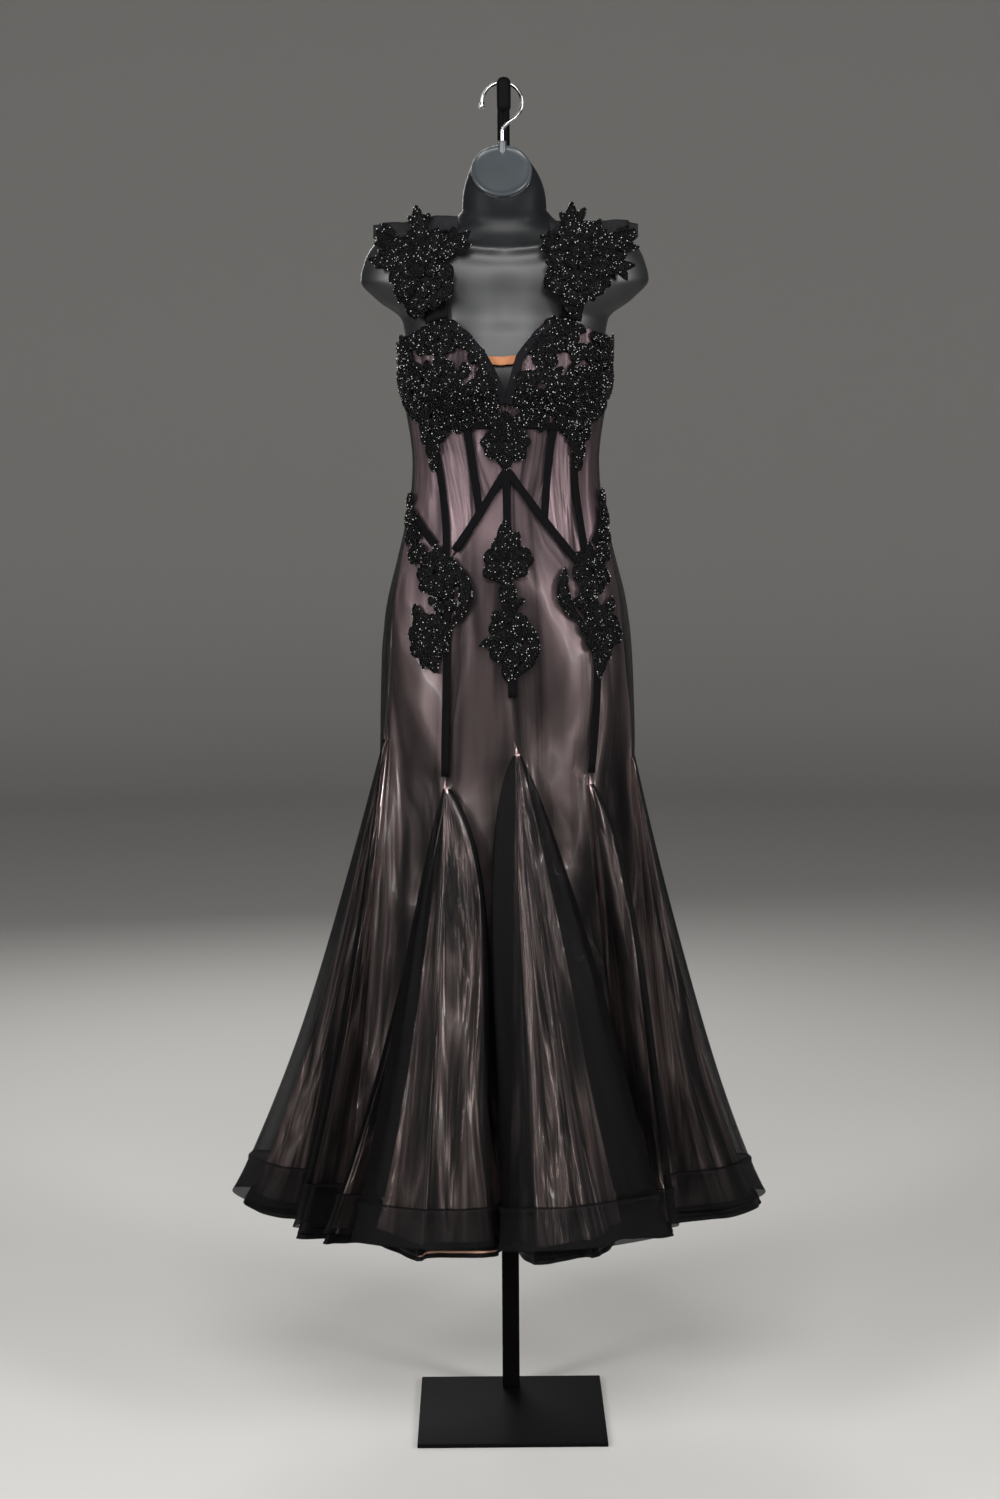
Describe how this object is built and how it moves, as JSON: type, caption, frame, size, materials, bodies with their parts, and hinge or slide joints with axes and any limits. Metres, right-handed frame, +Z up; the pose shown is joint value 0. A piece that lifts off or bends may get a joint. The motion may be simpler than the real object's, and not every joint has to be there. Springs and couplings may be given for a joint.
{
  "type": "ballroom dance dress on a hanging dress form with a post and a square base",
  "caption": "Black net over mauve satin ballroom dance dress with beaded lace and flared godets, on a black hanging form with a chrome hook, a post and a square steel base",
  "frame": {"origin": "centre of the square base plate's underside, which stands on the floor", "axes": "+Z up along the post, -Y to the dress's front, +X to the right as seen from the front"},
  "size_m": [0.7311, 0.627, 1.8048],
  "materials": {
    "net_over_satin": "satin seen through black net",
    "black_net": "fine net, doubled at the hem",
    "velvet": "matt velvet ribbon",
    "beaded_lace": "black lace closely set with glass beads",
    "elastic": "skin-tone elastic",
    "form_plastic": "smooth black with a soft gloss",
    "chrome": "polished wire",
    "stand_black": "black satin powder coat"
  },
  "bodies": {
    "root": {"applique_cup_left": "beaded_lace", "applique_cup_right": "beaded_lace", "applique_front": "beaded_lace", "applique_hip_left": "beaded_lace", "applique_hip_right": "beaded_lace", "applique_midriff": "beaded_lace", "applique_princess_left": "beaded_lace", "applique_princess_right": "beaded_lace", "applique_shoulder_left": "beaded_lace", "applique_shoulder_right": "beaded_lace", "applique_side_left": "beaded_lace", "applique_side_right": "beaded_lace", "base_plate": "stand_black", "crin_bow_left": "black_net", "crin_bow_right": "black_net", "cup_left": "net_over_satin", "cup_right": "net_over_satin", "form_neck_cap": "form_plastic", "form_torso": "form_plastic", "godet_back": "net_over_satin", "godet_back_left": "net_over_satin", "godet_back_right": "net_over_satin", "godet_front": "net_over_satin", "godet_front_left": "net_over_satin", "godet_front_right": "net_over_satin", "godet_side_left": "net_over_satin", "godet_side_right": "net_over_satin", "gore_back_left": "net_over_satin", "gore_back_right": "net_over_satin", "gore_front_left": "net_over_satin", "gore_front_right": "net_over_satin", "gore_side_back_left": "net_over_satin", "gore_side_back_right": "net_over_satin", "gore_side_front_left": "net_over_satin", "gore_side_front_right": "net_over_satin", "hem_band": "black_net", "hook": "chrome", "midriff_centre": "net_over_satin", "midriff_left": "net_over_satin", "midriff_right": "net_over_satin", "neck_binding_left": "velvet", "neck_binding_right": "velvet", "neckline_bridge": "elastic", "post_lower": "stand_black", "post_upper": "stand_black", "ribbon_bone_left": "velvet", "ribbon_bone_right": "velvet", "ribbon_centre": "velvet", "ribbon_princess_left": "velvet", "ribbon_princess_right": "velvet", "ribbon_side_left": "velvet", "ribbon_side_right": "velvet", "ribbon_underbust_left": "velvet", "ribbon_underbust_right": "velvet", "ribbon_yoke": "velvet", "satin_flounce": "net_over_satin", "strap_left": "black_net", "strap_right": "black_net", "zip": "black_net"}
  },
  "joints": []
}
